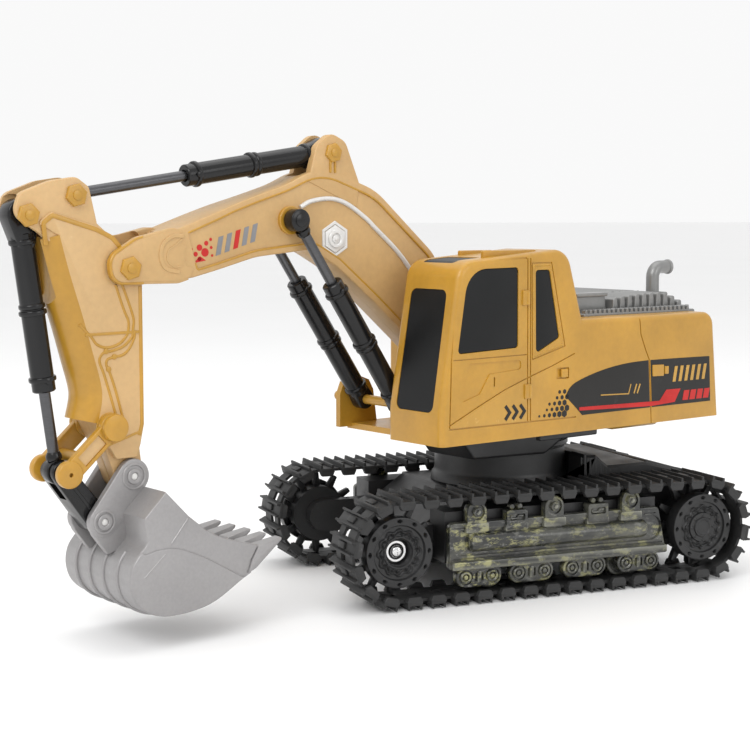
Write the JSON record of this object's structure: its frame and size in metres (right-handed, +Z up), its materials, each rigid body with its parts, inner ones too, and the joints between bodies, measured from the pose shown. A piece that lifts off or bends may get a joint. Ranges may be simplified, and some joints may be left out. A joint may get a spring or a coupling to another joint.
{
  "type": "toy tracked excavator",
  "caption": "Toy tracked excavator with a slewing cab and engine house, two-part arm with dummy rams and linkage, toothed bucket and rubber tracks.",
  "frame": {"origin": "centre of the bounding box, on the plane the tracks stand on", "axes": "-Y is forward along the tracks, +X is the cab side, +Z is up; the upper works are turned 16.5 degrees about +Z at rest"},
  "size_m": [0.1536, 0.3248, 0.1886],
  "materials": {
    "amber_plastic": "satin",
    "tan_plastic": "satin",
    "black_plastic": "satin",
    "gloss_black": "gloss",
    "grey_bucket": "metallic grey",
    "silver_plastic": "metallic grey",
    "camo_plastic": "weathered",
    "belt_rubber": "matte",
    "steel": "polished",
    "dark_steel": "satin",
    "brass": "satin",
    "board_green": "satin",
    "battery_wrap": "satin",
    "white_gear": "satin"
  },
  "bodies": {
    "undercarriage": {"chassis": "black_plastic", "chassis_cover": "black_plastic", "track_belt_left": "belt_rubber", "track_frame_left": "black_plastic", "side_cover_left": "camo_plastic", "idler_screw_left": "steel", "drive_motor_left": "dark_steel", "track_belt_right": "belt_rubber", "track_frame_right": "black_plastic", "side_cover_right": "camo_plastic", "idler_screw_right": "steel", "drive_motor_right": "dark_steel"},
    "sprocket_left_body": {"sprocket_left": "black_plastic", "drive_gear_left": "white_gear"},
    "pinion_left_body": {"drive_pinion_left": "brass"},
    "idler_left_body": {"idler_left": "black_plastic"},
    "roller_front_left_body": {"roller_front_left": "camo_plastic"},
    "roller_rear_left_body": {"roller_rear_left": "camo_plastic"},
    "sprocket_right_body": {"sprocket_right": "black_plastic", "drive_gear_right": "white_gear"},
    "pinion_right_body": {"drive_pinion_right": "brass"},
    "idler_right_body": {"idler_right": "black_plastic"},
    "roller_front_right_body": {"roller_front_right": "camo_plastic"},
    "roller_rear_right_body": {"roller_rear_right": "camo_plastic"},
    "house": {"house_shell": "amber_plastic", "door_window": "gloss_black", "quarter_window": "gloss_black", "front_window": "gloss_black", "roof_window": "gloss_black", "house_floor": "black_plastic", "king_pin": "steel", "slew_motor": "dark_steel", "engine_hood": "silver_plastic", "exhaust_pipe": "silver_plastic", "battery_cover": "amber_plastic", "battery_pack": "battery_wrap", "circuit_board": "board_green", "boom_bracket": "amber_plastic", "boom_pin": "steel", "boom_ram_pin": "amber_plastic"},
    "slew_pinion_body": {"slew_pinion": "brass"},
    "switch_body": {"power_switch": "black_plastic"},
    "boom": {"boom_left": "tan_plastic", "boom_right": "tan_plastic", "stick_pin": "tan_plastic"},
    "boom_ram_body": {"boom_ram_barrel_left": "gloss_black", "boom_ram_barrel_right": "gloss_black"},
    "boom_rod_body": {"boom_ram_rod_left": "dark_steel", "boom_ram_rod_right": "dark_steel"},
    "stick": {"stick_left": "tan_plastic", "stick_right": "tan_plastic", "rocker_pin": "amber_plastic", "bucket_pin": "silver_plastic"},
    "stick_ram_body": {"stick_ram_barrel": "gloss_black"},
    "stick_rod_body": {"stick_ram_rod": "dark_steel"},
    "bucket_body": {"bucket": "grey_bucket"},
    "rocker_body": {"rocker_link": "amber_plastic"},
    "tie_link_body": {"tie_link": "black_plastic"},
    "bucket_ram_body": {"bucket_ram_barrel": "gloss_black"},
    "bucket_rod_body": {"bucket_ram_rod": "dark_steel"}
  },
  "joints": [
    {"name": "sprocket_left_spin", "type": "hinge", "parent": "undercarriage", "child": "sprocket_left_body", "pos_m": [0.04234, 0.13536, 0.023], "axis": [1, 0, 0], "continuous": true},
    {"name": "pinion_left_spin", "type": "hinge", "parent": "undercarriage", "child": "pinion_left_body", "pos_m": [0.02034, 0.12546, 0.02547], "axis": [1, 0, 0], "continuous": true},
    {"name": "idler_left_spin", "type": "hinge", "parent": "undercarriage", "child": "idler_left_body", "pos_m": [0.04234, -0.00664, 0.023], "axis": [1, 0, 0], "continuous": true},
    {"name": "roller_front_left_spin", "type": "hinge", "parent": "undercarriage", "child": "roller_front_left_body", "pos_m": [0.04204, 0.03536, 0.01], "axis": [1, 0, 0], "continuous": true},
    {"name": "roller_rear_left_spin", "type": "hinge", "parent": "undercarriage", "child": "roller_rear_left_body", "pos_m": [0.04204, 0.09636, 0.01], "axis": [1, 0, 0], "continuous": true},
    {"name": "sprocket_right_spin", "type": "hinge", "parent": "undercarriage", "child": "sprocket_right_body", "pos_m": [-0.04966, 0.13536, 0.023], "axis": [1, 0, 0], "continuous": true},
    {"name": "pinion_right_spin", "type": "hinge", "parent": "undercarriage", "child": "pinion_right_body", "pos_m": [-0.02766, 0.12546, 0.02547], "axis": [1, 0, 0], "continuous": true},
    {"name": "idler_right_spin", "type": "hinge", "parent": "undercarriage", "child": "idler_right_body", "pos_m": [-0.04966, -0.00664, 0.023], "axis": [1, 0, 0], "continuous": true},
    {"name": "roller_front_right_spin", "type": "hinge", "parent": "undercarriage", "child": "roller_front_right_body", "pos_m": [-0.04936, 0.03536, 0.01], "axis": [1, 0, 0], "continuous": true},
    {"name": "roller_rear_right_spin", "type": "hinge", "parent": "undercarriage", "child": "roller_rear_right_body", "pos_m": [-0.04936, 0.09636, 0.01], "axis": [1, 0, 0], "continuous": true},
    {"name": "slew", "type": "hinge", "parent": "undercarriage", "child": "house", "pos_m": [-0.00366, 0.06436, 0.06], "axis": [0, 0, 1], "continuous": true},
    {"name": "slew_pinion_spin", "type": "hinge", "parent": "house", "child": "slew_pinion_body", "pos_m": [-0.00849, 0.08066, 0.0595], "axis": [0, 0, 1], "continuous": true},
    {"name": "power_slide", "type": "slide", "parent": "house", "child": "switch_body", "axis": [-0.284, 0.9588, 0], "range_m": [-0.0015, 0.0015]},
    {"name": "boom_lift", "type": "hinge", "parent": "house", "child": "boom", "pos_m": [0.006, 0.03176, 0.097], "axis": [-0.9588, -0.284, 0], "range_deg": [-12, 24]},
    {"name": "boom_ram_tilt", "type": "hinge", "parent": "house", "child": "boom_ram_body", "pos_m": [0.01565, -0.00084, 0.08], "axis": [-0.9588, -0.284, 0], "range_deg": [-14, 27]},
    {"name": "boom_ram_extend", "type": "slide", "parent": "boom_ram_body", "child": "boom_rod_body", "axis": [0.1597, -0.5392, 0.8269], "range_m": [-0.0085, 0.0165]},
    {"name": "stick_swing", "type": "hinge", "parent": "boom", "child": "stick", "pos_m": [0.05087, -0.11973, 0.138], "axis": [-0.9588, -0.284, 0], "range_deg": [-20, 25]},
    {"name": "stick_ram_tilt", "type": "hinge", "parent": "boom", "child": "stick_ram_body", "pos_m": [0.02417, -0.0296, 0.1815], "axis": [-0.9588, -0.284, 0], "range_deg": [-4, 5]},
    {"name": "stick_ram_extend", "type": "slide", "parent": "stick_ram_body", "child": "stick_rod_body", "axis": [0.2807, -0.9476, -0.1524], "range_m": [-0.0135, 0.0105]},
    {"name": "bucket_curl", "type": "hinge", "parent": "stick", "child": "bucket_body", "pos_m": [0.05044, -0.11829, 0.062], "axis": [-0.9588, -0.284, 0], "range_deg": [-18, 48]},
    {"name": "rocker_swing", "type": "hinge", "parent": "stick", "child": "rocker_body", "pos_m": [0.05314, -0.1274, 0.081], "axis": [-0.9588, -0.284, 0], "range_deg": [-17, 43]},
    {"name": "tie_link_swing", "type": "hinge", "parent": "rocker_body", "child": "tie_link_body", "pos_m": [0.05811, -0.14418, 0.0655], "axis": [-0.9588, -0.284, 0], "range_deg": [-38, 15]},
    {"name": "bucket_ram_tilt", "type": "hinge", "parent": "stick", "child": "bucket_ram_body", "pos_m": [0.06166, -0.15617, 0.157], "axis": [-0.9588, -0.284, 0], "range_deg": [-3, 6]},
    {"name": "bucket_ram_extend", "type": "slide", "parent": "bucket_ram_body", "child": "bucket_rod_body", "axis": [-0.0384, 0.1298, -0.9908], "range_m": [-0.0165, 0.0065]}
  ],
  "couplings": [
    {"joint": "pinion_left_spin", "follows": "sprocket_left_spin", "ratio": -2.4},
    {"joint": "idler_left_spin", "follows": "sprocket_left_spin", "ratio": 1},
    {"joint": "roller_front_left_spin", "follows": "sprocket_left_spin", "ratio": 3.4464},
    {"joint": "roller_rear_left_spin", "follows": "sprocket_left_spin", "ratio": 3.4464},
    {"joint": "pinion_right_spin", "follows": "sprocket_right_spin", "ratio": -2.4},
    {"joint": "idler_right_spin", "follows": "sprocket_right_spin", "ratio": 1},
    {"joint": "roller_front_right_spin", "follows": "sprocket_right_spin", "ratio": 3.4464},
    {"joint": "roller_rear_right_spin", "follows": "sprocket_right_spin", "ratio": 3.4464},
    {"joint": "slew_pinion_spin", "follows": "slew", "ratio": 2.4},
    {"joint": "boom_ram_tilt", "follows": "boom_lift", "ratio": 1.0075},
    {"joint": "boom_ram_extend", "follows": "boom_lift", "m_per_rad": 0.0373},
    {"joint": "stick_ram_tilt", "follows": "stick_swing", "ratio": 0.1239},
    {"joint": "stick_ram_extend", "follows": "stick_swing", "m_per_rad": -0.0289},
    {"joint": "rocker_swing", "follows": "bucket_curl", "ratio": 0.8553},
    {"joint": "tie_link_swing", "follows": "bucket_curl", "ratio": -0.7455},
    {"joint": "bucket_ram_tilt", "follows": "bucket_curl", "ratio": 0.0843},
    {"joint": "bucket_ram_extend", "follows": "bucket_curl", "m_per_rad": -0.0181}
  ]
}
